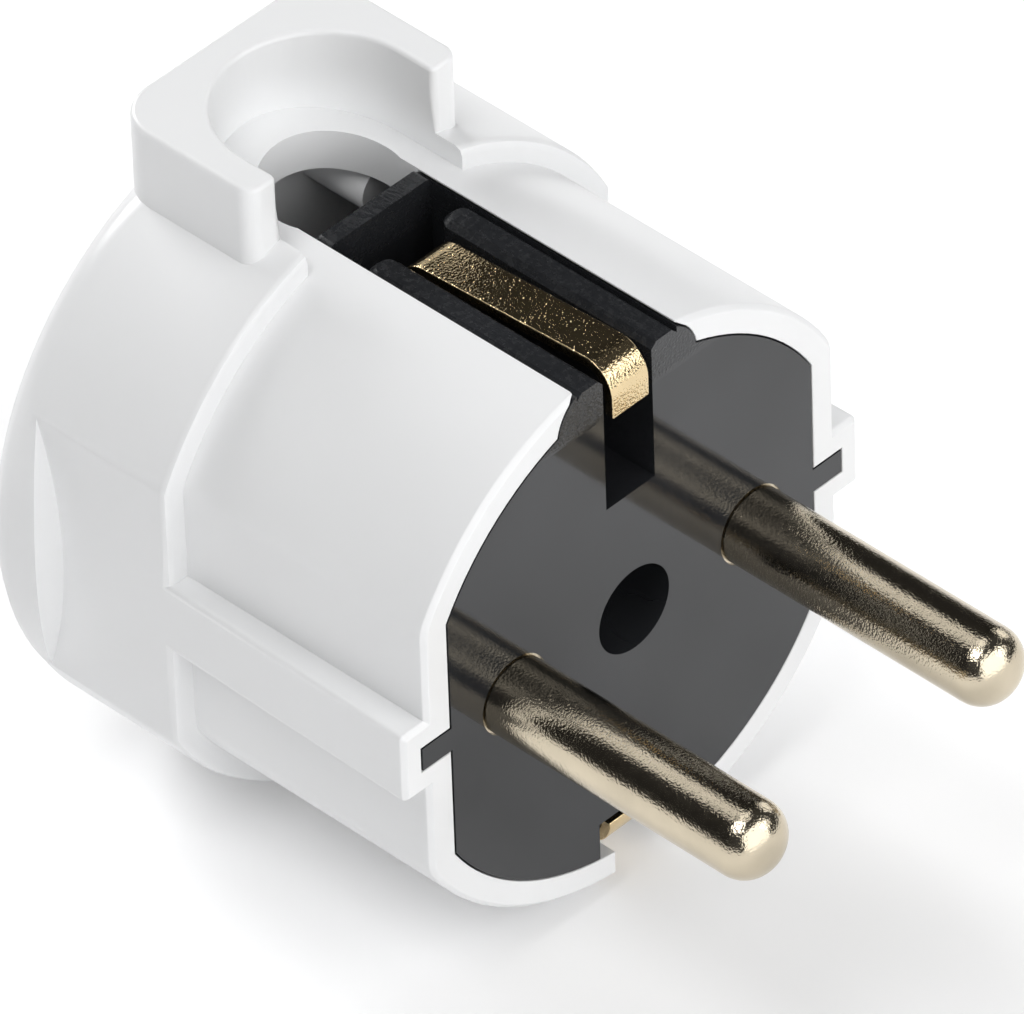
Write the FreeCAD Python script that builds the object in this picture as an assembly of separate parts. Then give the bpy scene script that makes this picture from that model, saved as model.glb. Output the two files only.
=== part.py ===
"""Grounded mains plug with its cord outlet at the top, ready to take a cord.

A white moulded cover holds a black core. Two round pins stand in the core, and one brass earth
strip runs round it, with a sprung contact at the top and at the bottom. Millimetres.

X runs from pin to pin, Y runs back from the face, and Z runs up towards the cord outlet.
The origin is the middle of the face, and the pins reach out along -Y.
"""
import FreeCAD
import Part
import math
import os
from FreeCAD import Vector

# Pins
PIN_SPACING = 19.0
PIN_DIAMETER = 4.8
PIN_REACH = 19.4
PIN_SHOULDER_STEP = 0.2
PIN_LIP = 0.15
PIN_LIP_GAP = 0.13
PIN_FIT = 0.05
PIN_TIP_EDGE = 2.0
PIN_TIP_BANDS = 3

# Pillar at the back of each pin, with its wire hole and its end screw
PILLAR_DIAMETER = 6.4
PILLAR_SETBACK = 2.7
PILLAR_WIRE_HOLE = 2.8
WIRE_HOLE_FROM_END = 4.4

# Cover sleeve, the slim front part that enters the socket
PIN_TO_FLAT = 6.85
FLAT_CUT = 2.2
SLEEVE_LENGTH = 18.25
SLEEVE_WALL = 1.75
FLAT_WALL = 1.8
SLEEVE_CORNER = 2.5
RIM_EDGE = 0.3

# Guide ribs on the two flats, each with the groove for the key of the core
RIB_PROUD = 1.85
RIB_HALF_HEIGHT = 2.4
RIB_EDGE = 0.4
KEY_WALL = 1.35
KEY_HALF_HEIGHT = 0.78
KEY_LENGTH = 14.0

# Cover head, the wider part that the hand holds
HEAD_STEP = 1.4
HEAD_FRONT_EDGE = 0.55
HEAD_BACK_EDGE = 2.5
HEAD_FRONT_BANDS = 2
HEAD_BACK_BANDS = 4
HEAD_REST_CUT = 0.55
WIRING_DEPTH = 9.1
BACK_WALL = 2.4
SEAT_LEDGE = 0.9

# Flat recess for a finger on each side of the head, with a bowed ledge at its back
GRIP_DEPTH = 2.15
GRIP_LENGTH = 8.4
GRIP_LEDGE_RADIUS = 28.0

# Collar round the cord outlet, and the way through it into the plug
COLLAR_HALF_WIDTH = 8.3
COLLAR_RISE = 4.95
COLLAR_WALL = 2.2
COLLAR_SETBACK = 2.05
COLLAR_FRONT_CORNER = 1.0
COLLAR_BACK_CORNER = 3.0
COLLAR_TOP_EDGE = 0.95
OUTLET_BACK_WALL = 2.1
CORD_HOLE_RADIUS = 4.25
CORD_HOLE_SETBACK = 4.05

# Slots in the sleeve that bare the earth strip
TOP_SLOT_HALF_WIDTH = 4.05
BOTTOM_SLOT_HALF_WIDTH = 2.05
SLOT_FLARE_HALF_WIDTH = 5.5
SLOT_FLARE_BULGE = 0.28

# Core
CORE_DEPTH = 19.7
CORE_FIT = 0.1
FRONT_WALL = 6.0
STRIP_SHELF = 15.0
POCKET_GAP = 0.6
POCKET_HALF_HEIGHT = 4.2
STRIP_WAY_HALF_WIDTH = 1.93
CHEEK_TOP = 17.9
CHEEK_LENGTH = 16.2
CHEEK_EDGE = 0.4
CHEEK_TIP = 0.9
CHANNEL_FLOOR = 8.45
CROSS_WALL = 1.1
CROSS_WALL_TOP = 18.1
CROSS_WALL_BOTTOM = 5.2
NOTCH_HALF_WIDTH = 3.25
NOTCH_ROOF = 13.85
CENTRE_POCKET_HALF_WIDTH = 4.7
SCREW_WELL_RADIUS = 2.8
SCREW_WELL_DEPTH = 9.0

# Earth strip
STRIP_WIDTH = 2.85
STRIP_THICKNESS = 0.65
STRIP_NOSE_RADIUS = 2.0
STRIP_HEEL_RADIUS = 1.6
UPPER_ARM_FRONT = -0.25
UPPER_ARM_REACH = 18.2
UPPER_ARM_HEEL = 17.35
UPPER_LEG_END = 14.8
LOWER_ARM_FRONT = 1.0
LOWER_ARM_REACH = 17.8
LOWER_ARM_HEEL = 17.35
LOWER_LEG_END = 15.6
PLATE_HALF_WIDTH = 4.2
PLATE_TOP = 4.2
PLATE_BOTTOM = -8.4
PLATE_CORNER = 1.0
PLATE_FIT = 0.2

# Screws, the washer under the earth screw and the nut
SCREW_DIAMETER = 3.0
SCREW_FIT = 0.2
HEAD_DIAMETER = 5.2
HEAD_HEIGHT = 1.7
SLOT_WIDTH = 0.8
SLOT_DEPTH = 0.8
PIN_SCREW_LENGTH = 3.4
EARTH_SCREW_LENGTH = 6.0
EARTH_SCREW_HEIGHT = -5.5
WASHER_SIDE = 5.6
WASHER_THICKNESS = 0.7
ASSEMBLY_SCREW_LENGTH = 17.0
NUT_ACROSS_FLATS = 5.5
NUT_THICKNESS = 2.4
NUT_FIT = 0.1

# Centre boss of the cover, which holds the nut, and the two posts beside the outlet
BOSS_RADIUS = 4.4
BOSS_GAP = 0.3
NUT_COVER = 2.2
BOSS_HOLE_BEYOND_NUT = 3.0
POST_RADIUS = 1.6
POST_X = 5.5
POST_Z = 13.4
POST_LENGTH = 4.8

# Cord clamp on the back of the core
CORD_WIDTH = 7.2
CORD_DEPTH = 5.9
CLAMP_THICKNESS = 1.3
CLAMP_HEIGHT = 3.0
CLAMP_Z = 7.1
CLAMP_FOOT_THICKNESS = 1.6
CLAMP_SCREW_DIAMETER = 2.5
CLAMP_HEAD_DIAMETER = 4.0
CLAMP_SCREW_LENGTH = 7.0
CLAMP_HEAD_GAP = 0.3

# Sizes that follow from those above
PIN_X = PIN_SPACING / 2
PIN_RADIUS = PIN_DIAMETER / 2
PILLAR_RADIUS = PILLAR_DIAMETER / 2
SLEEVE_FLAT = PIN_X + PIN_TO_FLAT
SLEEVE_RADIUS = SLEEVE_FLAT + FLAT_CUT
BORE_RADIUS = SLEEVE_RADIUS - SLEEVE_WALL
BORE_FLAT = SLEEVE_FLAT - FLAT_WALL
RIB_REACH = SLEEVE_FLAT + RIB_PROUD
HEAD_RADIUS = SLEEVE_RADIUS + HEAD_STEP
GRIP_FLAT = HEAD_RADIUS - GRIP_DEPTH
CAVITY_BACK = CORE_DEPTH + WIRING_DEPTH
BACK_Y = CAVITY_BACK + BACK_WALL
COLLAR_TOP = SLEEVE_RADIUS + COLLAR_RISE
COLLAR_FRONT = SLEEVE_LENGTH + COLLAR_SETBACK
OUTLET_RADIUS = COLLAR_HALF_WIDTH - COLLAR_WALL
OUTLET_Y = BACK_Y - OUTLET_BACK_WALL - OUTLET_RADIUS
CORD_HOLE_Y = SLEEVE_LENGTH + CORD_HOLE_SETBACK
PILLAR_END = CORE_DEPTH - PILLAR_SETBACK
SCREW_RADIUS = SCREW_DIAMETER / 2
CLAMP_SCREW_RADIUS = CLAMP_SCREW_DIAMETER / 2
NUT_FRONT = CORE_DEPTH + BOSS_GAP + NUT_COVER
CLAMP_SCREW_X = CORD_WIDTH / 2 + CLAMP_THICKNESS + CLAMP_HEAD_GAP + CLAMP_HEAD_DIAMETER / 2
PAST = 1.0
CLOSE = 1e-4


def block(x_span, y_span, z_span):
    """Box between two values on each axis."""
    corner = Vector(x_span[0], y_span[0], z_span[0])
    sizes = [span[1] - span[0] for span in (x_span, y_span, z_span)]
    return Part.makeBox(*sizes, corner)


def rod(radius, front, back, x=0.0, z=0.0):
    """Round bar along Y."""
    return Part.makeCylinder(radius, back - front, Vector(x, front, z), Vector(0, 1, 0))


def upright_rod(radius, bottom, top, y):
    """Round bar along Z in the middle plane."""
    return Part.makeCylinder(radius, top - bottom, Vector(0, y, bottom), Vector(0, 0, 1))


def flatted_rod(radius, flat, front, back):
    """Round bar along Y with a flat on each side."""
    return rod(radius, front, back).common(block((-flat, flat), (front, back), (-radius, radius)))


def prism(points, front, back):
    """Closed outline of (x, z) points drawn out along Y."""
    corners = [Vector(x, front, z) for x, z in points]
    outline = Part.makePolygon(corners + corners[:1])
    return Part.Face(outline).extrude(Vector(0, back - front, 0))


def turned(points):
    """Closed profile of (radius, y) points turned about the Y axis."""
    corners = [Vector(radius, y, 0) for radius, y in points]
    profile = Part.makePolygon(corners + corners[:1])
    return Part.Face(profile).revolve(Vector(0, 0, 0), Vector(0, 1, 0), 360)


def quarter_round(middle, radius, start, bands):
    """Points on a quarter circle about a (radius, y) middle, from a start angle in degrees."""
    angles = [math.radians(start + 90 * step / bands) for step in range(bands + 1)]
    return [(middle[0] + radius * math.cos(angle), middle[1] + radius * math.sin(angle)) for angle in angles]


def mirrored(shape):
    """The same shape on the other side of the middle plane."""
    return shape.mirror(Vector(0, 0, 0), Vector(1, 0, 0))


def both_sides(shape):
    """A shape and its mirror image as one."""
    return shape.fuse(mirrored(shape))


def edges_where(shape, test):
    """Edges whose points all pass a test."""
    found = []
    for edge in shape.Edges:
        samples = edge.discretize(5)
        if all(test(point) for point in samples):
            found.append(edge)
    return found


def near(value, target):
    return abs(value - target) < CLOSE


def collar_block():
    """Outside of the collar, with its upright corners rounded and its top edge sloped."""
    collar = block((-COLLAR_HALF_WIDTH, COLLAR_HALF_WIDTH), (COLLAR_FRONT, BACK_Y), (0, COLLAR_TOP))
    front_corners = edges_where(collar, lambda p: near(p.y, COLLAR_FRONT) and near(abs(p.x), COLLAR_HALF_WIDTH))
    collar = collar.makeFillet(COLLAR_FRONT_CORNER, front_corners)
    back_corners = edges_where(collar, lambda p: near(p.y, BACK_Y) and near(abs(p.x), COLLAR_HALF_WIDTH))
    collar = collar.makeFillet(COLLAR_BACK_CORNER, back_corners)
    top_edges = edges_where(collar, lambda p: near(p.z, COLLAR_TOP))
    return collar.makeChamfer(COLLAR_TOP_EDGE, top_edges)


def outlet_hollow():
    """Round hollow in the collar and the channel that opens it to the front, down to the sleeve."""
    top = COLLAR_TOP + PAST
    hollow = upright_rod(OUTLET_RADIUS, 0, top, OUTLET_Y)
    channel_front = SLEEVE_LENGTH - PAST
    channel = block((-OUTLET_RADIUS, OUTLET_RADIUS), (channel_front, OUTLET_Y), (0, top))
    return hollow.fuse(channel).cut(rod(SLEEVE_RADIUS, 0, BACK_Y))


def upright_prism(points, bottom, top):
    """Closed outline of (x, y) points drawn out along Z."""
    corners = [Vector(x, y, bottom) for x, y in points]
    outline = Part.makePolygon(corners + corners[:1])
    return Part.Face(outline).extrude(Vector(0, 0, top - bottom))


def grip_recess():
    """Space for a finger on the right of the head: flat floor, rounded front edge, bowed ledge behind."""
    ledge = SLEEVE_LENGTH + GRIP_LENGTH
    outside = HEAD_RADIUS + PAST
    edge = quarter_round((GRIP_FLAT - HEAD_FRONT_EDGE, SLEEVE_LENGTH + HEAD_FRONT_EDGE),
                         HEAD_FRONT_EDGE, -90, HEAD_FRONT_BANDS)
    before = SLEEVE_LENGTH - PAST
    outline = [(edge[0][0], before)] + edge + [(GRIP_FLAT, BACK_Y), (outside, BACK_Y), (outside, before)]
    recess = upright_prism(outline, -HEAD_RADIUS, HEAD_RADIUS)
    middle = Vector(GRIP_FLAT - PAST, ledge + GRIP_LEDGE_RADIUS, 0)
    return recess.cut(Part.makeCylinder(GRIP_LEDGE_RADIUS, GRIP_DEPTH + 3 * PAST, middle, Vector(1, 0, 0)))


def head():
    """Turned head with rounded rims, a finger recess on each side and a flat to rest on."""
    front_edge = quarter_round((HEAD_RADIUS - HEAD_FRONT_EDGE, SLEEVE_LENGTH + HEAD_FRONT_EDGE),
                               HEAD_FRONT_EDGE, -90, HEAD_FRONT_BANDS)
    back_edge = quarter_round((HEAD_RADIUS - HEAD_BACK_EDGE, BACK_Y - HEAD_BACK_EDGE),
                              HEAD_BACK_EDGE, 0, HEAD_BACK_BANDS)
    body = turned([(0, SLEEVE_LENGTH)] + front_edge + back_edge + [(0, BACK_Y)])
    below = (-HEAD_RADIUS - PAST, HEAD_REST_CUT - HEAD_RADIUS)
    rest = block((-HEAD_RADIUS, HEAD_RADIUS), (0, BACK_Y + PAST), below)
    return body.cut(both_sides(grip_recess()).fuse(rest))


def guide_ribs(back):
    """Both ribs as one bar, drawn in towards the head until they are flush with its finger recesses."""
    draw_in = (RIB_REACH - GRIP_FLAT) / (SLEEVE_LENGTH + HEAD_FRONT_EDGE)
    root = RIB_REACH - draw_in * back
    outline = [(-RIB_REACH, 0), (RIB_REACH, 0), (root, back), (-root, back)]
    ribs = upright_prism(outline, -RIB_HALF_HEIGHT, RIB_HALF_HEIGHT)
    long_edges = edges_where(ribs, lambda p: near(abs(p.x), RIB_REACH - draw_in * p.y) and
                             near(abs(p.z), RIB_HALF_HEIGHT))
    return ribs.makeFillet(RIB_EDGE, long_edges)


def cover_outside():
    """Sleeve, guide ribs, head and collar as one solid block."""
    into_head = SLEEVE_LENGTH + PAST
    sleeve = flatted_rod(SLEEVE_RADIUS, SLEEVE_FLAT, 0, into_head)
    flat_ends = edges_where(sleeve, lambda p: near(abs(p.x), SLEEVE_FLAT) and
                            near(math.hypot(p.x, p.z), SLEEVE_RADIUS))
    sleeve = sleeve.makeFillet(SLEEVE_CORNER, flat_ends)
    sleeve = sleeve.fuse(guide_ribs(into_head)).removeSplitter()
    rim = edges_where(sleeve, lambda p: near(p.y, 0))
    sleeve = sleeve.makeChamfer(RIM_EDGE, rim)
    return sleeve.fuse(head()).fuse(collar_block()).removeSplitter()


def centre_boss():
    """Boss on the back wall, with the screw hole and the side pocket for the nut."""
    front = CORE_DEPTH + BOSS_GAP
    boss = rod(BOSS_RADIUS, front, CAVITY_BACK + PAST)
    half_flats = NUT_ACROSS_FLATS / 2 + NUT_FIT
    half_corners = half_flats / math.cos(math.radians(30))
    nut_back = NUT_FRONT + NUT_THICKNESS + NUT_FIT
    pocket = hexagon_bar(half_flats, NUT_FRONT, nut_back)
    way_in = block((-half_flats, half_flats), (NUT_FRONT, nut_back), (-BOSS_RADIUS - half_corners, 0))
    hole = rod(SCREW_RADIUS + SCREW_FIT, front - PAST, nut_back + BOSS_HOLE_BEYOND_NUT)
    return boss.cut(pocket.fuse(way_in).fuse(hole))


def hexagon_bar(half_flats, front, back):
    """Six-sided bar along Y with two of its flats upright."""
    reach = half_flats / math.cos(math.radians(30))
    angles = [math.radians(30 + 60 * step) for step in range(6)]
    points = [(reach * math.cos(angle), reach * math.sin(angle)) for angle in angles]
    return prism(points, front, back)


def cover_shell():
    """White cover: outside, bore for the core, wiring space, slots, outlet, boss and posts."""
    cover = cover_outside().cut(outlet_hollow())
    bore = flatted_rod(BORE_RADIUS, BORE_FLAT, -PAST, CORE_DEPTH)
    cavity = flatted_rod(BORE_RADIUS - SEAT_LEDGE, BORE_FLAT - SEAT_LEDGE, CORE_DEPTH, CAVITY_BACK)
    key_reach = RIB_REACH - KEY_WALL
    key_groove = block((-key_reach, key_reach), (-PAST, KEY_LENGTH + CORE_FIT),
                       (-KEY_HALF_HEIGHT - CORE_FIT, KEY_HALF_HEIGHT + CORE_FIT))
    top_slot = block((-TOP_SLOT_HALF_WIDTH, TOP_SLOT_HALF_WIDTH), (-PAST, CORD_HOLE_Y), (0, SLEEVE_RADIUS + PAST))
    cord_hole = upright_rod(CORD_HOLE_RADIUS, 0, SLEEVE_RADIUS + PAST, CORD_HOLE_Y)
    bottom_slot = block((-BOTTOM_SLOT_HALF_WIDTH, BOTTOM_SLOT_HALF_WIDTH), (-PAST, CHEEK_LENGTH),
                        (-SLEEVE_RADIUS - PAST, 0))
    flare = flare_bar(SLOT_FLARE_HALF_WIDTH, TOP_SLOT_HALF_WIDTH, CHEEK_TOP + CORE_FIT, -PAST)
    inside = bore.fuse([cavity, key_groove, top_slot, cord_hole, bottom_slot, flare])
    cover = cover.cut(inside)
    post = rod(POST_RADIUS, CAVITY_BACK - POST_LENGTH, CAVITY_BACK + PAST, POST_X, POST_Z)
    return cover.fuse([centre_boss(), both_sides(post)]).removeSplitter()


def flare_bar(foot_half_width, top_half_width, top, front):
    """Bar whose bowed sides narrow from the round of the bore up to the edges of the top slot."""
    foot = Vector(foot_half_width, front, math.sqrt(BORE_RADIUS ** 2 - foot_half_width ** 2))
    head = Vector(top_half_width, front, top)
    chord = head - foot
    outward = Vector(chord.z, 0, -chord.x).normalize()
    bow = (foot + head) / 2 + outward * SLOT_FLARE_BULGE
    left = [Vector(-point.x, front, point.z) for point in (head, bow, foot)]
    middle = Vector(0, front, 0)
    sides = [Part.LineSegment(middle, foot), Part.Arc(foot, bow, head), Part.LineSegment(head, left[0]),
             Part.Arc(*left), Part.LineSegment(left[2], middle)]
    outline = Part.Wire([side.toShape() for side in sides])
    return Part.Face(outline).extrude(Vector(0, CORE_DEPTH - front, 0))


def core_cheek():
    """Upright on the right of the earth strip's channel, with sloped top edges and a rounded back end."""
    outer = TOP_SLOT_HALF_WIDTH - CORE_FIT
    cheek = block((STRIP_WAY_HALF_WIDTH, outer), (0, CHEEK_LENGTH), (CHANNEL_FLOOR - PAST, CHEEK_TOP))
    back_corners = edges_where(cheek, lambda p: near(p.y, CHEEK_LENGTH) and (near(p.x, outer)
                               or near(p.x, STRIP_WAY_HALF_WIDTH)))
    cheek = cheek.makeFillet(CHEEK_TIP, back_corners)
    around_top = edges_where(cheek, lambda p: near(p.z, CHEEK_TOP))
    top_edges = [edge for edge in around_top if edge.BoundBox.YMax > CLOSE]
    return cheek.makeChamfer(CHEEK_EDGE, top_edges)


def core_insert():
    """Black core: face, keys, channel for the earth strip, pockets and screw holes."""
    radius = BORE_RADIUS - CORE_FIT
    core = flatted_rod(radius, BORE_FLAT - CORE_FIT, 0, CORE_DEPTH)
    key_reach = RIB_REACH - KEY_WALL - CORE_FIT
    keys = block((-key_reach, key_reach), (0, KEY_LENGTH), (-KEY_HALF_HEIGHT, KEY_HALF_HEIGHT))
    flare = flare_bar(SLOT_FLARE_HALF_WIDTH - CORE_FIT, TOP_SLOT_HALF_WIDTH - CORE_FIT, CHEEK_TOP, 0)
    core = core.fuse([keys, flare])
    outer = TOP_SLOT_HALF_WIDTH - CORE_FIT
    beyond = CORE_DEPTH + PAST
    channel = block((-outer, outer), (-PAST, beyond), (CHANNEL_FLOOR, CROSS_WALL_TOP + PAST))
    centre_pocket = block((-CENTRE_POCKET_HALF_WIDTH, CENTRE_POCKET_HALF_WIDTH), (STRIP_SHELF, beyond),
                          (PLATE_BOTTOM - PLATE_FIT, CHANNEL_FLOOR))
    strip_way = block((-STRIP_WAY_HALF_WIDTH, STRIP_WAY_HALF_WIDTH), (STRIP_SHELF, beyond), (-radius, 0))
    notch = block((-NOTCH_HALF_WIDTH, NOTCH_HALF_WIDTH), (-PAST, CHEEK_LENGTH), (-radius - PAST, -NOTCH_ROOF))
    core = core.cut(channel.fuse([centre_pocket, strip_way, notch]))
    cross_wall = block((-outer, outer), (CORE_DEPTH - CROSS_WALL, CORE_DEPTH), (CROSS_WALL_BOTTOM, CROSS_WALL_TOP))
    wall_top = edges_where(cross_wall, lambda p: near(p.z, CROSS_WALL_TOP) and near(abs(p.x), outer))
    cross_wall = cross_wall.makeFillet(CHEEK_EDGE, wall_top)
    core = core.fuse([both_sides(core_cheek()), cross_wall]).removeSplitter()
    pocket_half = PILLAR_RADIUS + POCKET_GAP
    pocket = block((PIN_X - pocket_half, PIN_X + pocket_half), (FRONT_WALL, beyond),
                   (-POCKET_HALF_HEIGHT, POCKET_HALF_HEIGHT))
    pin_mouth = rod(PIN_RADIUS + PIN_LIP_GAP, -PAST, FRONT_WALL, PIN_X)
    shoulder_hole = rod(PIN_RADIUS + PIN_SHOULDER_STEP + PIN_FIT, PIN_LIP, FRONT_WALL + PAST, PIN_X)
    clamp_hole = rod(CLAMP_SCREW_RADIUS, CORE_DEPTH - CLAMP_SCREW_LENGTH, beyond, CLAMP_SCREW_X, CLAMP_Z)
    core = core.cut(both_sides(pocket.fuse([pin_mouth, shoulder_hole, clamp_hole])))
    screw_well = rod(SCREW_WELL_RADIUS, -PAST, SCREW_WELL_DEPTH)
    screw_hole = rod(SCREW_RADIUS + SCREW_FIT, 0, STRIP_SHELF + PAST)
    earth_hole = rod(SCREW_RADIUS, STRIP_SHELF - EARTH_SCREW_LENGTH, beyond, 0, EARTH_SCREW_HEIGHT)
    return core.cut(screw_well.fuse([screw_hole, earth_hole]))


def pin():
    """Right pin: round tip, shank, shoulder in the core, and the pillar that takes the wire."""
    tip = quarter_round((PIN_RADIUS - PIN_TIP_EDGE, PIN_TIP_EDGE - PIN_REACH), PIN_TIP_EDGE, -90, PIN_TIP_BANDS)
    shoulder = PIN_RADIUS + PIN_SHOULDER_STEP
    profile = [(0, -PIN_REACH)] + tip + [(PIN_RADIUS, PIN_LIP), (shoulder, PIN_LIP),
                     (shoulder, FRONT_WALL), (PILLAR_RADIUS, FRONT_WALL),
                     (PILLAR_RADIUS, PILLAR_END), (0, PILLAR_END)]
    body = turned(profile).translate(Vector(PIN_X, 0, 0))
    wire_y = PILLAR_END - WIRE_HOLE_FROM_END
    wire_hole = Part.makeCylinder(PILLAR_WIRE_HOLE / 2, 2 * PILLAR_DIAMETER,
                                  Vector(PIN_X, wire_y, -PILLAR_DIAMETER), Vector(0, 0, 1))
    screw_hole = rod(SCREW_RADIUS, wire_y, PILLAR_END + PAST, PIN_X)
    return body.cut(wire_hole.fuse(screw_hole))


def slotted_screw(diameter, head_diameter, length, seat, x=0.0, z=0.0):
    """Screw with its head behind the seat and its shank towards -Y."""
    head = rod(head_diameter / 2, seat, seat + HEAD_HEIGHT, x, z)
    half = head_diameter
    slot = block((x - half, x + half), (seat + HEAD_HEIGHT - SLOT_DEPTH, seat + HEAD_HEIGHT + PAST),
                 (z - SLOT_WIDTH / 2, z + SLOT_WIDTH / 2))
    shank = rod(diameter / 2, seat - length, seat, x, z)
    return head.cut(slot).fuse(shank).removeSplitter()


def pin_screw():
    """Screw in the end of the right pillar."""
    return slotted_screw(SCREW_DIAMETER, HEAD_DIAMETER, PIN_SCREW_LENGTH, PILLAR_END, PIN_X)


def strip_arm(arm_front, reach, heel, leg_end):
    """Upper half of the earth strip, from its free leg over the nose and back down to the plate."""
    half = STRIP_THICKNESS / 2
    front = arm_front + half
    rear = STRIP_SHELF + half
    corners = [Vector(0, front, leg_end), Vector(0, front, reach - half),
               Vector(0, rear, heel - half), Vector(0, rear, 0)]
    path = rounded_path(corners, [STRIP_NOSE_RADIUS - half, STRIP_HEEL_RADIUS - half])
    side = STRIP_WIDTH / 2
    end_points = [Vector(-side, front - half, leg_end), Vector(side, front - half, leg_end),
                  Vector(side, front + half, leg_end), Vector(-side, front + half, leg_end)]
    section = Part.makePolygon(end_points + end_points[:1])
    return path.makePipeShell([section], True, False)


def rounded_path(corners, radii):
    """Straight runs through the corners, joined by arcs that touch them."""
    edges = []
    start = corners[0]
    for index, radius in enumerate(radii):
        corner = corners[index + 1]
        back = (corners[index] - corner).normalize()
        ahead = (corners[index + 2] - corner).normalize()
        half_angle = back.getAngle(ahead) / 2
        run = radius / math.tan(half_angle)
        arc_start = corner + back * run
        arc_end = corner + ahead * run
        middle_line = (back + ahead).normalize()
        arc_middle = corner + middle_line * (radius / math.sin(half_angle) - radius)
        edges.append(Part.LineSegment(start, arc_start).toShape())
        edges.append(Part.Arc(arc_start, arc_middle, arc_end).toShape())
        start = arc_end
    edges.append(Part.LineSegment(start, corners[-1]).toShape())
    return Part.Wire(edges)


def earth_strip():
    """Brass strip: a sprung contact at the top and bottom, and the plate with the two holes."""
    upper_arm = strip_arm(UPPER_ARM_FRONT, UPPER_ARM_REACH, UPPER_ARM_HEEL, UPPER_LEG_END)
    lower_arm = strip_arm(LOWER_ARM_FRONT, LOWER_ARM_REACH, LOWER_ARM_HEEL, LOWER_LEG_END)
    lower_arm = lower_arm.mirror(Vector(0, 0, 0), Vector(0, 0, 1))
    plate = block((-PLATE_HALF_WIDTH, PLATE_HALF_WIDTH), (STRIP_SHELF, STRIP_SHELF + STRIP_THICKNESS),
                  (PLATE_BOTTOM, PLATE_TOP))
    corners = edges_where(plate, lambda p: near(abs(p.x), PLATE_HALF_WIDTH) and
                          (near(p.z, PLATE_TOP) or near(p.z, PLATE_BOTTOM)))
    plate = plate.makeFillet(PLATE_CORNER, corners)
    back = STRIP_SHELF + PAST
    screw_hole = rod(SCREW_RADIUS + SCREW_FIT, 0, back)
    earth_hole = rod(SCREW_RADIUS, 0, back, 0, EARTH_SCREW_HEIGHT)
    return upper_arm.fuse([lower_arm, plate]).cut(screw_hole.fuse(earth_hole)).removeSplitter()


def earth_washer():
    """Square washer that presses the wire on the plate."""
    front = STRIP_SHELF + STRIP_THICKNESS
    side = WASHER_SIDE / 2
    washer = block((-side, side), (front, front + WASHER_THICKNESS),
                   (EARTH_SCREW_HEIGHT - side, EARTH_SCREW_HEIGHT + side))
    hole = rod(SCREW_RADIUS + SCREW_FIT, front - PAST, front + PAST, 0, EARTH_SCREW_HEIGHT)
    return washer.cut(hole)


def earth_screw():
    """Screw through the washer and the plate into the core."""
    seat = STRIP_SHELF + STRIP_THICKNESS + WASHER_THICKNESS
    length = EARTH_SCREW_LENGTH + STRIP_THICKNESS
    return slotted_screw(SCREW_DIAMETER, HEAD_DIAMETER, length, seat, 0.0, EARTH_SCREW_HEIGHT)


def assembly_screw():
    """Long screw from the bottom of the well in the face to the nut in the cover."""
    screw = slotted_screw(SCREW_DIAMETER, HEAD_DIAMETER, ASSEMBLY_SCREW_LENGTH, -SCREW_WELL_DEPTH)
    return screw.mirror(Vector(0, 0, 0), Vector(0, 1, 0))


def assembly_nut():
    """Hexagon nut in the boss of the cover."""
    nut = hexagon_bar(NUT_ACROSS_FLATS / 2, NUT_FRONT, NUT_FRONT + NUT_THICKNESS)
    return nut.cut(rod(SCREW_RADIUS, NUT_FRONT - PAST, NUT_FRONT + NUT_THICKNESS + PAST))


def cord_clamp():
    """Arched bar that holds the cord against the back of the core."""
    inner = CORD_WIDTH / 2
    outer = inner + CLAMP_THICKNESS
    foot_end = CLAMP_SCREW_X + CLAMP_HEAD_DIAMETER / 2
    bottom = CLAMP_Z - CLAMP_HEIGHT / 2
    top = bottom + CLAMP_HEIGHT
    spring_y = CORE_DEPTH + CORD_DEPTH - inner
    feet = block((-foot_end, foot_end), (CORE_DEPTH, CORE_DEPTH + CLAMP_FOOT_THICKNESS), (bottom, top))
    arch = upright_rod(outer, bottom, top, spring_y)
    arch = arch.fuse(block((-outer, outer), (CORE_DEPTH, spring_y), (bottom, top)))
    way = upright_rod(inner, bottom - PAST, top + PAST, spring_y)
    way = way.fuse(block((-inner, inner), (CORE_DEPTH - PAST, spring_y), (bottom - PAST, top + PAST)))
    below = block((-outer, outer), (0, CORE_DEPTH), (bottom, top))
    screw_hole = rod(CLAMP_SCREW_RADIUS, CORE_DEPTH - PAST, BACK_Y, CLAMP_SCREW_X, CLAMP_Z)
    return feet.fuse(arch).cut(way.fuse([below, both_sides(screw_hole)])).removeSplitter()


def clamp_screw():
    """Right screw of the cord clamp."""
    seat = CORE_DEPTH + CLAMP_FOOT_THICKNESS
    return slotted_screw(CLAMP_SCREW_DIAMETER, CLAMP_HEAD_DIAMETER, CLAMP_SCREW_LENGTH, seat,
                         CLAMP_SCREW_X, CLAMP_Z)


def all_pieces():
    """Every piece under its own name."""
    pieces = {
        "cover_shell": cover_shell(),
        "core_insert": core_insert(),
        "earth_strip": earth_strip(),
        "earth_washer": earth_washer(),
        "earth_screw": earth_screw(),
        "assembly_screw": assembly_screw(),
        "assembly_nut": assembly_nut(),
        "cord_clamp": cord_clamp(),
    }
    for name, maker in (("pin", pin), ("pin_screw", pin_screw), ("clamp_screw", clamp_screw)):
        pieces[name + "_right"] = maker()
        pieces[name + "_left"] = mirrored(pieces[name + "_right"])
    return pieces


def main():
    os.makedirs("parts", exist_ok=True)
    for name, shape in all_pieces().items():
        solid = shape.Solids[0]
        print(name, len(shape.Solids), shape.isValid(), round(solid.Volume, 2), len(shape.Faces))
        solid.exportStep(os.path.join("parts", name + ".step"))


main()
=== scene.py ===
import math

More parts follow.
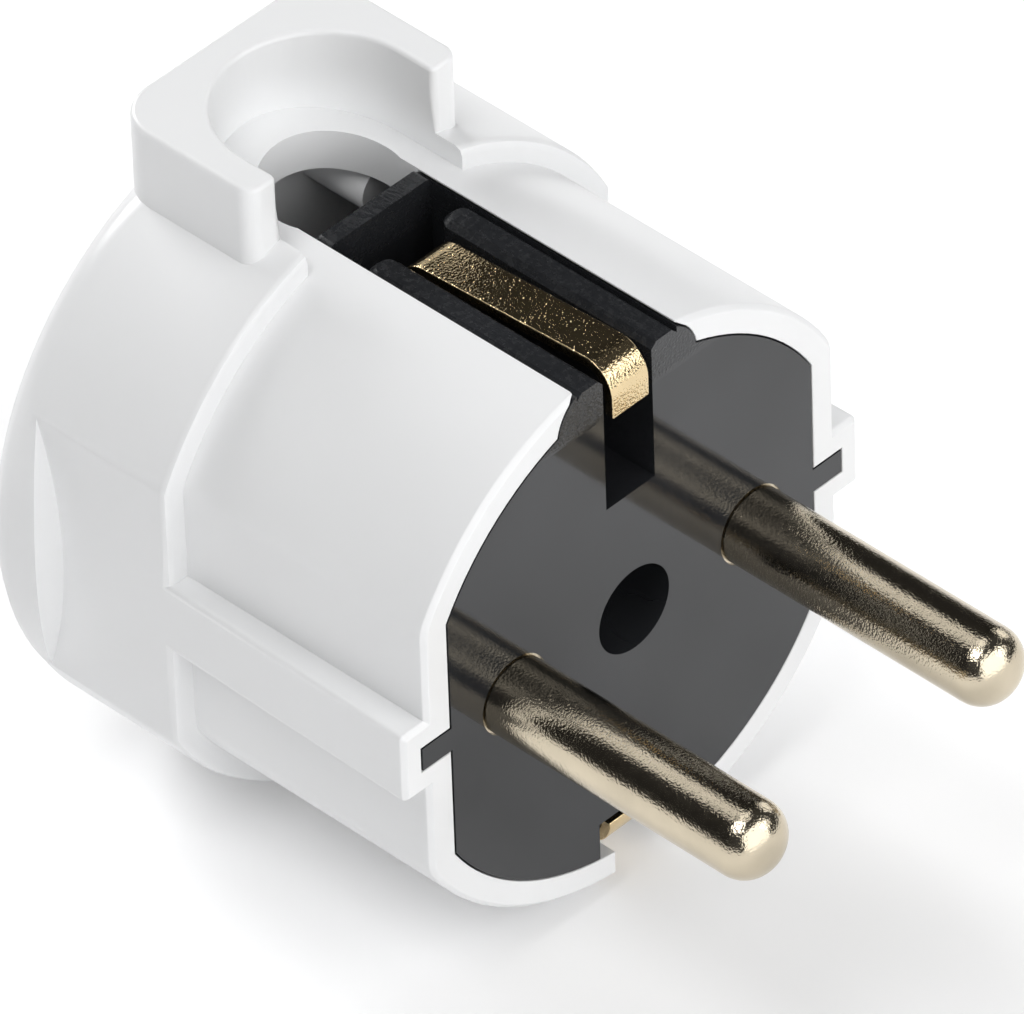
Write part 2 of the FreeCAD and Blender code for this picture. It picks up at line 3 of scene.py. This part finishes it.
import bmesh
import bpy
from bpy.props import FloatProperty, FloatVectorProperty, IntProperty, PointerProperty
from mathutils import Matrix, Vector


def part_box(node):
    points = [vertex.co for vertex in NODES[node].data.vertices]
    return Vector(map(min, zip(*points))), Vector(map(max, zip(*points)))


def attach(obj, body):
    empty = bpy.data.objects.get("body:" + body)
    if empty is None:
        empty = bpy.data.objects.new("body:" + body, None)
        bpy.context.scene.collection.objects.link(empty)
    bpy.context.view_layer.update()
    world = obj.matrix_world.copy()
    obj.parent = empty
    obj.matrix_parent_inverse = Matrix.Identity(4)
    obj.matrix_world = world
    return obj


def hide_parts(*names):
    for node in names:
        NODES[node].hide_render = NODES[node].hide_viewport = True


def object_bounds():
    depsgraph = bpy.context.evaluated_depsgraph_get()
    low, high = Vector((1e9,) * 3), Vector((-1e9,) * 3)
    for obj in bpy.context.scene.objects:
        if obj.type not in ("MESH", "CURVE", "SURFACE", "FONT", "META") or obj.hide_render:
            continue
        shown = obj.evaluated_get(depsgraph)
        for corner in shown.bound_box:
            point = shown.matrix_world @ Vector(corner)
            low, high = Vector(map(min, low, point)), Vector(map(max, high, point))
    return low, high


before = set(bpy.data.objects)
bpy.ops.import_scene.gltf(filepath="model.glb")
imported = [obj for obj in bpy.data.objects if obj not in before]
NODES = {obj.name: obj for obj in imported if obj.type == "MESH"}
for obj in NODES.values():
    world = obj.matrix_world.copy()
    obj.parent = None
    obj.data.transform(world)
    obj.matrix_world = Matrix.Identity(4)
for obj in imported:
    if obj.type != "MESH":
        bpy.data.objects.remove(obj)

bl_info = {
    "name": "Grounded Plug Finish",
    "version": (1, 0, 0),
    "blender": (4, 5, 0),
    "location": "View3D > Sidebar > Plug",
    "description": "Finishes the grounded plug: moulded cover, glossy core, plated pins, "
                   "brass strip and stage",
    "category": "Object",
}

MILLIMETRE = 0.001
QUARTER_TURN = math.radians(90.0)
CAD_BOX = [list(corner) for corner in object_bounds()]

# How copies of the CAD nodes are joined up, and how their edges and faces are picked
MERGE_DISTANCE = 0.002 * MILLIMETRE
FLAT_ANGLE = math.radians(0.3)
SHARP_ANGLE = math.radians(30.0)
SMOOTH_ANGLE = math.radians(35.0)
CLOSE = 0.01 * MILLIMETRE
FACING = 0.9

# Cover: depth of the front rim, height of the collar's top that is drawn anew, reach of its ears
RIM_DEPTH = 0.35 * MILLIMETRE
COLLAR_TOP = 2.0 * MILLIMETRE
EAR_REACH = 2.0 * MILLIMETRE

# Faces across each round, and flat sides round each drilled hole
COLLAR_STEPS = 5
SCREW_STEPS = 2
TIP_STEPS = 12
HOLE_SIDES = 32

# White plastic: flow and sheen are patterns in cells per metre
COVER_FLOW = 90.0
COVER_SHADE = 0.985
COVER_SHEEN = 260.0
COVER_ROUGHNESS = (0.28, 0.33)
COVER_IOR = 1.5

# Black plastic: flow, haze, patches and streaks are patterns in cells per metre. The patches and
# streaks are scuffs on the cheek tops, which fade in between two heights above the pins' middle.
CORE_FLOW = 120.0
CORE_SHADES = (0.8, 1.25)
CORE_HAZE = 420.0
CORE_ROUGHNESS = (0.05, 0.10)
CORE_IOR = 1.53
SCUFF_HEIGHT = (15.0 * MILLIMETRE, 15.4 * MILLIMETRE)
SCUFF_PATCHES = 2400.0
SCUFF_ROUGHNESS = (0.08, 0.26)
STREAKS = 5600.0
STREAK_STRETCH = (1.0, 0.3, 1.0)
STREAK_DEPTH = 0.034 * MILLIMETRE

# Metals: tarnish, patches and each grain are patterns in cells per metre
TARNISH = 340.0
TARNISH_SHADE = 0.9
METAL_PATCHES = 2600.0
PIN_FINISH = {"rough": (0.12, 0.18), "grain": 7000.0, "depth": 0.022 * MILLIMETRE}
BRASS_FINISH = {"rough": (0.10, 0.17), "grain": 6500.0, "depth": 0.034 * MILLIMETRE}
ZINC_FINISH = {"rough": (0.18, 0.32), "grain": 4200.0, "depth": 0.006 * MILLIMETRE}

# Floor: mottle is a pattern in cells per metre, and the lift is white added to what is seen
FLOOR_MOTTLE = 12.0
FLOOR_SHADE = 0.995
FLOOR_ROUGHNESS = 0.9
FLOOR_GLOSS = 0.1
FLOOR_LIFT = 0.16

# Room that the gloss mirrors: bright where a direction's Y or Z is low, and fading to dim as they rise
ROOM_BRIGHT = (0.05, 0.05, 0.05, 1.0)
ROOM_DIM = (0.02, 0.02, 0.02, 1.0)
ROOM_FADE_Y = (0.0, 0.2)
ROOM_FADE_Z = (0.15, 0.28)

# Lamps: name, place, width and height, power in watts. Each points at the middle of the plug's face.
LAMPS = (
    ("back_softbox", (0.12, 0.79, 0.40), (0.45, 0.40), 5.0),
    ("top_softbox", (0.05, 0.08, 0.89), (0.40, 0.40), 0.7),
    ("left_softbox", (-0.42, -0.05, 0.78), (0.40, 0.40), 2.3),
    ("side_softbox", (0.82, 0.08, 0.34), (0.40, 0.40), 0.7),
    ("front_panel", (-0.06, -0.80, 0.38), (1.30, 1.00), 8.4),
    ("top_strip", (-0.045, 0.48, 0.76), (0.50, 0.35), 0.5),
    ("nose_card", (0.50, -0.61, 0.50), (0.40, 0.40), 0.6),
)

# Camera, as read from the photograph: lens in millimetres, angles in degrees, the rest in metres
FOCAL_LENGTH = 562.5
SENSOR_WIDTH = 36.0
VIEW_AZIMUTH = -44.897
VIEW_ELEVATION = 40.981
VIEW_ROLL = -2.077
VIEW_DISTANCE = 0.88027
VIEW_RIGHT = -0.00672
VIEW_UP = 0.00561
CLIP_START = 0.05
CLIP_END = 20.0


class PlugSizes(bpy.types.PropertyGroup):
    """Sizes of the finishing touches."""
    rim_round: FloatProperty(name="Rim round", description="Radius on the cover's front edges",
                             default=0.12 * MILLIMETRE, unit="LENGTH")
    ear_round: FloatProperty(name="Ear round",
                             description="Radius on the upright corners where the collar opens",
                             default=0.6 * MILLIMETRE, unit="LENGTH")
    collar_round: FloatProperty(name="Collar edge round",
                                description="Radius on the top edge of the collar",
                                default=0.45 * MILLIMETRE, unit="LENGTH")
    core_round: FloatProperty(name="Core edge round",
                              description="Radius on the edges of the black core",
                              default=0.12 * MILLIMETRE, unit="LENGTH")
    strip_round: FloatProperty(name="Strip edge round",
                               description="Radius on the edges of the brass strip",
                               default=0.08 * MILLIMETRE, unit="LENGTH")
    screw_round: FloatProperty(name="Screw edge round", description="Radius on the edges of the screws",
                               default=0.06 * MILLIMETRE, unit="LENGTH")
    outlet_radius: FloatProperty(name="Outlet radius", description="Radius of the hollow in the collar",
                                 default=6.1 * MILLIMETRE, unit="LENGTH")
    outlet_middle: FloatProperty(name="Outlet middle",
                                 description="From the plug's face to the hollow's middle",
                                 default=23.0 * MILLIMETRE, unit="LENGTH")
    round_steps: IntProperty(name="Round steps",
                             description="Faces across each rounded edge", default=3, min=1)
    pin_sides: IntProperty(name="Pin sides",
                           description="Flat sides round each pin", default=64, min=16)
    pin_width: FloatProperty(name="Pin width", description="Diameter of the pin shank",
                             default=4.8 * MILLIMETRE, unit="LENGTH")
    pin_tip: FloatProperty(name="Pin tip round", description="Radius of the round at the tip",
                           default=2.0 * MILLIMETRE, unit="LENGTH")
    shoulder_width: FloatProperty(name="Shoulder width",
                                  description="Diameter of the pin inside the core",
                                  default=5.2 * MILLIMETRE, unit="LENGTH")
    shoulder_front: FloatProperty(name="Shoulder front",
                                  description="How far behind the face the shoulder starts",
                                  default=0.15 * MILLIMETRE, unit="LENGTH")
    pillar_width: FloatProperty(name="Pillar width", description="Diameter of the wire pillar",
                                default=6.4 * MILLIMETRE, unit="LENGTH")
    pillar_front: FloatProperty(name="Pillar front",
                                description="How far behind the face the pillar starts",
                                default=6.0 * MILLIMETRE, unit="LENGTH")
    wire_hole: FloatProperty(name="Wire hole", description="Diameter of the hole across the pillar",
                             default=2.8 * MILLIMETRE, unit="LENGTH")
    screw_hole: FloatProperty(name="Screw hole", description="Diameter of the hole in the pillar's end",
                              default=3.0 * MILLIMETRE, unit="LENGTH")
    wire_hole_depth: FloatProperty(name="Wire hole depth",
                                   description="From the pillar's end to the wire hole",
                                   default=4.4 * MILLIMETRE, unit="LENGTH")
    floor_side: FloatProperty(name="Floor side",
                              description="Side of the square floor", default=6.0, unit="LENGTH")


class PlugColours(bpy.types.PropertyGroup):
    """Colours of the materials."""
    white: FloatVectorProperty(name="Cover white", description="White moulded plastic", subtype="COLOR",
                               size=4, min=0.0, max=1.0, default=(0.83, 0.835, 0.84, 1.0))
    black: FloatVectorProperty(name="Core black", description="Glossy black plastic", subtype="COLOR",
                               size=4, min=0.0, max=1.0, default=(0.016, 0.017, 0.019, 1.0))
    plating: FloatVectorProperty(name="Pin plating",
                                 description="Warm plating of the pins", subtype="COLOR",
                                 size=4, min=0.0, max=1.0, default=(0.62, 0.545, 0.415, 1.0))
    brass: FloatVectorProperty(name="Strip brass",
                               description="Brass of the earth strip", subtype="COLOR",
                               size=4, min=0.0, max=1.0, default=(0.80, 0.635, 0.38, 1.0))
    zinc: FloatVectorProperty(name="Screw zinc",
                              description="Bright zinc of the screws", subtype="COLOR",
                              size=4, min=0.0, max=1.0, default=(0.74, 0.75, 0.76, 1.0))
    floor: FloatVectorProperty(name="Floor", description="Pale studio floor", subtype="COLOR",
                               size=4, min=0.0, max=1.0, default=(0.93, 0.93, 0.935, 1.0))


def deselect_all():
    """Leaves no object selected."""
    bpy.ops.object.select_all(action="DESELECT")


def make_active(piece):
    """Selects one piece and makes it the active one."""
    deselect_all()
    piece.select_set(True)
    bpy.context.view_layer.objects.active = piece


def node_copy(node, name):
    """Copy of a CAD node with its triangles joined and its flat faces made whole."""
    piece = bpy.data.objects.new(name, NODES[node].data.copy())
    bpy.context.scene.collection.objects.link(piece)
    piece.data.name = name
    make_active(piece)
    if piece.data.has_custom_normals:
        bpy.ops.mesh.customdata_custom_splitnormals_clear()
    bpy.ops.object.mode_set(mode="EDIT")
    bpy.ops.mesh.select_all(action="SELECT")
    bpy.ops.mesh.remove_doubles(threshold=MERGE_DISTANCE)
    bpy.ops.mesh.dissolve_limited(angle_limit=FLAT_ANGLE)
    bpy.ops.object.mode_set(mode="OBJECT")
    return piece


def pick_edges(piece, test):
    """Selects the sharp outward edges whose middle passes a test, and goes to edit mode."""
    make_active(piece)
    bpy.ops.object.mode_set(mode="EDIT")
    bpy.ops.mesh.select_mode(type="EDGE")
    bpy.ops.mesh.select_all(action="DESELECT")
    shape = bmesh.from_edit_mesh(piece.data)
    for edge in shape.edges:
        if edge.is_manifold and edge.is_convex and edge.calc_face_angle() > SHARP_ANGLE:
            start, end = (vertex.co for vertex in edge.verts)
            if test((start + end) / 2):
                edge.select_set(True)
    bmesh.update_edit_mesh(piece.data)


def pick_faces(piece, test):
    """Selects the faces whose middle and normal pass a test, and goes to edit mode."""
    make_active(piece)
    bpy.ops.object.mode_set(mode="EDIT")
    bpy.ops.mesh.select_mode(type="FACE")
    bpy.ops.mesh.select_all(action="DESELECT")
    bpy.ops.object.mode_set(mode="OBJECT")
    for face in piece.data.polygons:
        face.select = test(face.center, face.normal)
    bpy.ops.object.mode_set(mode="EDIT")


def round_edges(piece, width, steps, test=lambda point: True):
    """Rounds the sharp outward edges whose middle passes a test."""
    pick_edges(piece, test)
    bpy.ops.mesh.bevel(offset=width, segments=steps, affect="EDGES", clamp_overlap=True)
    bpy.ops.object.mode_set(mode="OBJECT")


def round_collar(piece, sizes):
    """Cuts the collar's top off, draws it up again with upright sides and rounds its edges."""
    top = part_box("cover_shell")[1][2]
    low = top - COLLAR_TOP
    make_active(piece)
    bpy.ops.object.mode_set(mode="EDIT")
    bpy.ops.mesh.select_all(action="SELECT")
    bpy.ops.mesh.bisect(plane_co=(0, 0, low), plane_no=(0, 0, 1), use_fill=True, clear_outer=True)
    bpy.ops.object.mode_set(mode="OBJECT")
    pick_faces(piece, lambda middle, normal: middle.z > low - CLOSE and normal.z > FACING)
    bpy.ops.mesh.extrude_region_move(TRANSFORM_OT_translate={"value": (0, 0, top - low)})
    bpy.ops.object.mode_set(mode="OBJECT")

    def at_ear(point):
        """On the upright corner of an ear, where the collar opens to the front."""
        beside = abs(abs(point.x) - sizes.outlet_radius) < CLOSE
        return beside and point.y < sizes.outlet_middle - EAR_REACH and point.z > low - EAR_REACH

    round_edges(piece, sizes.ear_round, sizes.round_steps, at_ear)
    round_edges(piece, sizes.collar_round, COLLAR_STEPS, lambda point: point.z > top - CLOSE)


def smooth_faces(piece):
    """Smooths the curved faces and keeps the flat ones even."""
    make_active(piece)
    bpy.ops.object.shade_smooth_by_angle(angle=SMOOTH_ANGLE, keep_sharp_edges=False)
    even = piece.modifiers.new("Even flats", "WEIGHTED_NORMAL")
    even.keep_sharp = True
    bpy.ops.object.modifier_apply(modifier=even.name)


def put_on(piece, node, material):
    """Gives a piece its material and puts it in the place of a CAD node."""
    piece.data.materials.clear()
    piece.data.materials.append(material)
    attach(piece, "root")
    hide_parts(node)


def cut_hole(piece, radius, length, place, turn=(0.0, 0.0, 0.0)):
    """Cuts a round hole through a piece."""
    deselect_all()
    bpy.ops.mesh.primitive_cylinder_add(vertices=HOLE_SIDES, radius=radius, depth=length,
                                        location=place, rotation=turn)
    cutter = bpy.context.object
    make_active(piece)
    hole = piece.modifiers.new("Hole", "BOOLEAN")
    hole.operation = "DIFFERENCE"
    hole.object = cutter
    bpy.ops.object.modifier_apply(modifier=hole.name)
    bpy.data.objects.remove(cutter)


def turned_pin(name, node, sizes):
    """Pin made from a bar: round tip, then a shoulder and a pillar drawn out of its back end."""
    low, high = (Vector(corner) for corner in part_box(node))
    x = (low.x + high.x) / 2
    length = sizes.shoulder_front - low.y
    deselect_all()
    bpy.ops.mesh.primitive_cylinder_add(vertices=sizes.pin_sides, radius=sizes.pin_width / 2,
                                        depth=length, location=(x, low.y + length / 2, 0),
                                        rotation=(QUARTER_TURN, 0, 0))
    piece = bpy.context.object
    piece.name = name
    bpy.ops.object.transform_apply(location=True, rotation=True, scale=True)
    pick_faces(piece, lambda middle, normal: normal.y < -FACING)
    bpy.ops.mesh.bevel(offset=sizes.pin_tip, segments=TIP_STEPS, affect="EDGES")
    bpy.ops.object.mode_set(mode="OBJECT")
    pick_faces(piece, lambda middle, normal: normal.y > FACING)
    steps = ((0.0, sizes.shoulder_width),
             (sizes.pillar_front - sizes.shoulder_front, sizes.shoulder_width),
             (0.0, sizes.pillar_width),
             (high.y - sizes.pillar_front, sizes.pillar_width))
    width = sizes.pin_width
    for forward, next_width in steps:
        bpy.ops.mesh.extrude_region_move(TRANSFORM_OT_translate={"value": (0, forward, 0)})
        grow = next_width / width
        bpy.ops.transform.resize(value=(grow, grow, grow))
        width = next_width
    bpy.ops.object.mode_set(mode="OBJECT")
    wire_y = high.y - sizes.wire_hole_depth
    cut_hole(piece, sizes.wire_hole / 2, 2 * sizes.pillar_width, (x, wire_y, 0))
    cut_hole(piece, sizes.screw_hole / 2, 2 * sizes.wire_hole_depth, (x, high.y, 0),
             (QUARTER_TURN, 0, 0))
    bpy.ops.object.shade_smooth_by_angle(angle=SMOOTH_ANGLE, keep_sharp_edges=False)
    return piece


def new_material(name):
    """Empty node material, with the shader and the object coordinates that it starts from."""
    material = bpy.data.materials.new(name)
    material.use_nodes = True
    tree = material.node_tree
    shader = tree.nodes["Principled BSDF"]
    place = tree.nodes.new("ShaderNodeTexCoord")
    return material, tree, shader, place.outputs["Object"]


def noise(tree, place, scale, detail=3.0, roughness=0.5):
    """Cloudy pattern from 0 to 1, with a number of cells per metre."""
    texture = tree.nodes.new("ShaderNodeTexNoise")
    texture.inputs["Scale"].default_value = scale
    texture.inputs["Detail"].default_value = detail
    texture.inputs["Roughness"].default_value = roughness
    tree.links.new(place, texture.inputs["Vector"])
    return texture.outputs["Fac"]


def spread(tree, value, low, high, start=0.3, end=0.7):
    """Maps values from start to end onto the range from low to high."""
    ranger = tree.nodes.new("ShaderNodeMapRange")
    ranger.inputs["From Min"].default_value = start
    ranger.inputs["From Max"].default_value = end
    ranger.inputs["To Min"].default_value = low
    ranger.inputs["To Max"].default_value = high
    tree.links.new(value, ranger.inputs["Value"])
    return ranger.outputs["Result"]


def two_tone(tree, value, first, second, start=0.35, end=0.65):
    """Runs from one colour to another along a pattern."""
    ramp = tree.nodes.new("ShaderNodeValToRGB")
    ramp.color_ramp.elements[0].position = start
    ramp.color_ramp.elements[0].color = first
    ramp.color_ramp.elements[1].position = end
    ramp.color_ramp.elements[1].color = second
    tree.links.new(value, ramp.inputs["Fac"])
    return ramp.outputs["Color"]


def shaded(colour, factor):
    """Darker or lighter shade of a colour."""
    return tuple(channel * factor for channel in colour[:3]) + (1.0,)


def combine(tree, how, *values):
    """Result of one step of arithmetic on two values, each a number or another node's output."""
    node = tree.nodes.new("ShaderNodeMath")
    node.operation = how
    for socket, value in zip(node.inputs, values):
        if isinstance(value, float):
            socket.default_value = value
        else:
            tree.links.new(value, socket)
    return node.outputs["Value"]


def stretched(tree, place, factors):
    """Coordinates drawn out along an axis, for streaks."""
    node = tree.nodes.new("ShaderNodeMapping")
    node.inputs["Scale"].default_value = factors
    tree.links.new(place, node.inputs["Vector"])
    return node.outputs["Vector"]


def bumps(tree, shader, height, depth):
    """Lets a pattern stand out of the surface by a depth."""
    bump = tree.nodes.new("ShaderNodeBump")
    bump.inputs["Distance"].default_value = depth
    tree.links.new(height, bump.inputs["Height"])
    tree.links.new(bump.outputs["Normal"], shader.inputs["Normal"])


def cover_plastic(colours):
    """White plastic with a barely uneven sheen."""
    material, tree, shader, place = new_material("white_moulded_plastic")
    flow = noise(tree, place, COVER_FLOW, detail=2.0)
    colour = two_tone(tree, flow, shaded(colours.white, COVER_SHADE), shaded(colours.white, 1.0))
    sheen = noise(tree, place, COVER_SHEEN, detail=2.0)
    roughness = spread(tree, sheen, *COVER_ROUGHNESS, start=0.2, end=0.8)
    tree.links.new(colour, shader.inputs["Base Color"])
    tree.links.new(roughness, shader.inputs["Roughness"])
    shader.inputs["IOR"].default_value = COVER_IOR
    return material


def core_plastic(colours):
    """Black plastic, glossy all over but scuffed and streaky on the cheek tops."""
    material, tree, shader, place = new_material("black_gloss_plastic")
    dark, light = (shaded(colours.black, factor) for factor in CORE_SHADES)
    colour = two_tone(tree, noise(tree, place, CORE_FLOW), dark, light)
    tree.links.new(colour, shader.inputs["Base Color"])
    axes = tree.nodes.new("ShaderNodeSeparateXYZ")
    tree.links.new(place, axes.inputs["Vector"])
    top = spread(tree, axes.outputs["Z"], 0.0, 1.0, *SCUFF_HEIGHT)
    gloss = spread(tree, noise(tree, place, CORE_HAZE, detail=4.0), *CORE_ROUGHNESS)
    patches = spread(tree, noise(tree, place, SCUFF_PATCHES), *SCUFF_ROUGHNESS)
    scuffed = combine(tree, "MULTIPLY", top, patches)
    tree.links.new(combine(tree, "ADD", gloss, scuffed), shader.inputs["Roughness"])
    streaks = noise(tree, stretched(tree, place, STREAK_STRETCH), STREAKS, detail=2.0)
    bumps(tree, shader, combine(tree, "MULTIPLY", top, streaks), STREAK_DEPTH)
    shader.inputs["IOR"].default_value = CORE_IOR
    return material


def grained_metal(name, base, rough, grain, depth):
    """Plated or rolled metal with a fine grain that breaks up its reflections."""
    material, tree, shader, place = new_material(name)
    tarnish = noise(tree, place, TARNISH, detail=4.0)
    patches = noise(tree, place, METAL_PATCHES, detail=2.0)
    colour = two_tone(tree, tarnish, shaded(base, TARNISH_SHADE), base)
    tree.links.new(colour, shader.inputs["Base Color"])
    tree.links.new(spread(tree, patches, *rough), shader.inputs["Roughness"])
    bumps(tree, shader, noise(tree, place, grain, detail=1.0, roughness=0.6), depth)
    shader.inputs["Metallic"].default_value = 1.0
    return material


class PLUG_OT_cover(bpy.types.Operator):
    """White cover with softly rounded moulded edges"""
    bl_idname = "plug.cover"
    bl_label = "Cover"

    def execute(self, context):
        sizes = context.scene.plug_sizes
        piece = node_copy("cover_shell", "cover_moulding")
        round_collar(piece, sizes)
        round_edges(piece, sizes.rim_round, sizes.round_steps, lambda point: point.y < RIM_DEPTH)
        smooth_faces(piece)
        put_on(piece, "cover_shell", cover_plastic(context.scene.plug_colours))
        return {"FINISHED"}


class PLUG_OT_core(bpy.types.Operator):
    """Glossy black core and cord clamp"""
    bl_idname = "plug.core"
    bl_label = "Core"

    def execute(self, context):
        sizes = context.scene.plug_sizes
        plastic = core_plastic(context.scene.plug_colours)
        for node, name in (("core_insert", "core_moulding"), ("cord_clamp", "clamp_moulding")):
            piece = node_copy(node, name)
            round_edges(piece, sizes.core_round, sizes.round_steps)
            smooth_faces(piece)
            put_on(piece, node, plastic)
        return {"FINISHED"}


class PLUG_OT_pins(bpy.types.Operator):
    """Two plated pins"""
    bl_idname = "plug.pins"
    bl_label = "Pins"

    def execute(self, context):
        sizes = context.scene.plug_sizes
        plating = grained_metal("pin_plating", context.scene.plug_colours.plating, **PIN_FINISH)
        for side in ("left", "right"):
            piece = turned_pin("plated_pin_" + side, "pin_" + side, sizes)
            put_on(piece, "pin_" + side, plating)
        return {"FINISHED"}


class PLUG_OT_strip(bpy.types.Operator):
    """Brass earth strip with its sprung contacts"""
    bl_idname = "plug.strip"
    bl_label = "Earth strip"

    def execute(self, context):
        sizes = context.scene.plug_sizes
        brass = grained_metal("rolled_brass", context.scene.plug_colours.brass, **BRASS_FINISH)
        piece = node_copy("earth_strip", "brass_strip")
        round_edges(piece, sizes.strip_round, sizes.round_steps)
        smooth_faces(piece)
        put_on(piece, "earth_strip", brass)
        return {"FINISHED"}


class PLUG_OT_screws(bpy.types.Operator):
    """Screws, washer and nut in bright zinc"""
    bl_idname = "plug.screws"
    bl_label = "Screws"

    def execute(self, context):
        sizes = context.scene.plug_sizes
        zinc = grained_metal("bright_zinc", context.scene.plug_colours.zinc, **ZINC_FINISH)
        for node in ("earth_washer", "earth_screw", "assembly_screw", "assembly_nut",
                     "pin_screw_left", "pin_screw_right", "clamp_screw_left", "clamp_screw_right"):
            piece = node_copy(node, "zinc_" + node)
            round_edges(piece, sizes.screw_round, SCREW_STEPS)
            smooth_faces(piece)
            put_on(piece, node, zinc)
        return {"FINISHED"}


def make_floor(sizes, colours):
    """Square floor under the plug's lowest point."""
    deselect_all()
    bpy.ops.mesh.primitive_plane_add(size=sizes.floor_side, location=(0, 0, CAD_BOX[0][2]))
    floor = bpy.context.object
    floor.name = "studio_floor"
    bpy.ops.object.transform_apply(location=True, rotation=True, scale=True)
    material, tree, shader, place = new_material("pale_floor")
    shader.inputs["Roughness"].default_value = FLOOR_ROUGHNESS
    shader.inputs["Specular IOR Level"].default_value = FLOOR_GLOSS
    mottle = noise(tree, place, FLOOR_MOTTLE)
    tint = two_tone(tree, mottle, shaded(colours.floor, FLOOR_SHADE), colours.floor)
    tree.links.new(tint, shader.inputs["Base Color"])
    lift_background(tree, shader, FLOOR_LIFT)
    floor.data.materials.append(material)


def lift_background(tree, shader, strength):
    """Adds plain white to what the camera, gloss and glass see of the floor, which keeps its shadow."""
    path = tree.nodes.new("ShaderNodeLightPath")
    seen = path.outputs["Is Camera Ray"]
    for ray in ("Is Glossy Ray", "Is Transmission Ray"):
        seen = combine(tree, "MAXIMUM", seen, path.outputs[ray])
    glow = tree.nodes.new("ShaderNodeEmission")
    tree.links.new(combine(tree, "MULTIPLY", seen, strength), glow.inputs["Strength"])
    total = tree.nodes.new("ShaderNodeAddShader")
    tree.links.new(shader.outputs["BSDF"], total.inputs[0])
    tree.links.new(glow.outputs["Emission"], total.inputs[1])
    tree.links.new(total.outputs["Shader"], tree.nodes["Material Output"].inputs["Surface"])


def make_lamp(name, place, size, power):
    """Soft rectangular lamp that points at the plug's face."""
    lamp = bpy.data.lights.new(name, "AREA")
    lamp.shape = "RECTANGLE"
    lamp.size, lamp.size_y = size
    lamp.energy = power
    holder = bpy.data.objects.new(name, lamp)
    bpy.context.scene.collection.objects.link(holder)
    holder.location = place
    holder.rotation_euler = Vector(place).to_track_quat("Z", "Y").to_euler()


def make_world(scene):
    """Studio room: less dim in front and low down all round, dimmest high up behind the plug."""
    world = bpy.data.worlds.new("studio_room")
    world.use_nodes = True
    tree = world.node_tree
    background = tree.nodes["Background"]
    direction = tree.nodes.new("ShaderNodeTexCoord").outputs["Generated"]
    axes = tree.nodes.new("ShaderNodeSeparateXYZ")
    tree.links.new(direction, axes.inputs["Vector"])
    front = spread(tree, axes.outputs["Y"], 1.0, 0.0, *ROOM_FADE_Y)
    low = spread(tree, axes.outputs["Z"], 1.0, 0.0, *ROOM_FADE_Z)
    bright = combine(tree, "MAXIMUM", front, low)
    colour = two_tone(tree, bright, ROOM_DIM, ROOM_BRIGHT, start=0.0, end=1.0)
    tree.links.new(colour, background.inputs["Color"])
    background.inputs["Strength"].default_value = 1.0
    scene.world = world


def make_camera(scene):
    """Camera where the photographer's stood, with plain colours."""
    azimuth, elevation, roll = map(math.radians, (VIEW_AZIMUTH, VIEW_ELEVATION, VIEW_ROLL))
    back = Vector((math.sin(azimuth) * math.cos(elevation),
                   -math.cos(azimuth) * math.cos(elevation),
                   math.sin(elevation)))
    turn = (-back).to_track_quat("-Z", "Y").to_matrix() @ Matrix.Rotation(roll, 3, "Z")
    right, up = turn.col[0], turn.col[1]
    lens = bpy.data.cameras.new("studio_camera")
    lens.lens = FOCAL_LENGTH
    lens.sensor_width = SENSOR_WIDTH
    lens.clip_start = CLIP_START
    lens.clip_end = CLIP_END
    camera = bpy.data.objects.new("studio_camera", lens)
    scene.collection.objects.link(camera)
    camera.location = back * VIEW_DISTANCE + right * VIEW_RIGHT + up * VIEW_UP
    camera.rotation_euler = turn.to_euler()
    scene.camera = camera
    scene.view_settings.view_transform = "Standard"


class PLUG_OT_stage(bpy.types.Operator):
    """Pale floor, soft studio lamps and the camera"""
    bl_idname = "plug.stage"
    bl_label = "Stage"

    def execute(self, context):
        make_floor(context.scene.plug_sizes, context.scene.plug_colours)
        for lamp in LAMPS:
            make_lamp(*lamp)
        make_world(context.scene)
        make_camera(context.scene)
        return {"FINISHED"}


class PLUG_PT_panel(bpy.types.Panel):
    """Lists the pieces of the plug and their sizes and colours"""
    bl_idname = "PLUG_PT_panel"
    bl_label = "Plug"
    bl_space_type = "VIEW_3D"
    bl_region_type = "UI"
    bl_category = "Plug"

    def draw(self, context):
        for group in (context.scene.plug_sizes, context.scene.plug_colours):
            for name in group.bl_rna.properties.keys():
                if name not in ("rna_type", "name"):
                    self.layout.prop(group, name)
        for piece in PIECES:
            self.layout.operator(piece.bl_idname)


GROUPS = (PlugSizes, PlugColours)
PIECES = (PLUG_OT_cover, PLUG_OT_core, PLUG_OT_pins, PLUG_OT_strip, PLUG_OT_screws, PLUG_OT_stage)
CLASSES = GROUPS + PIECES + (PLUG_PT_panel,)


def register():
    """Makes the groups, operators and panel known to Blender."""
    for entry in CLASSES:
        bpy.utils.register_class(entry)
    bpy.types.Scene.plug_sizes = PointerProperty(type=PlugSizes)
    bpy.types.Scene.plug_colours = PointerProperty(type=PlugColours)


def unregister():
    """Takes the groups, operators and panel out of Blender again."""
    del bpy.types.Scene.plug_colours
    del bpy.types.Scene.plug_sizes
    for entry in reversed(CLASSES):
        bpy.utils.unregister_class(entry)


def main():
    """Builds the pieces and the stage."""
    register()
    bpy.ops.plug.cover()
    bpy.ops.plug.core()
    bpy.ops.plug.pins()
    bpy.ops.plug.strip()
    bpy.ops.plug.screws()
    bpy.ops.plug.stage()


if __name__ == "__main__":
    main()
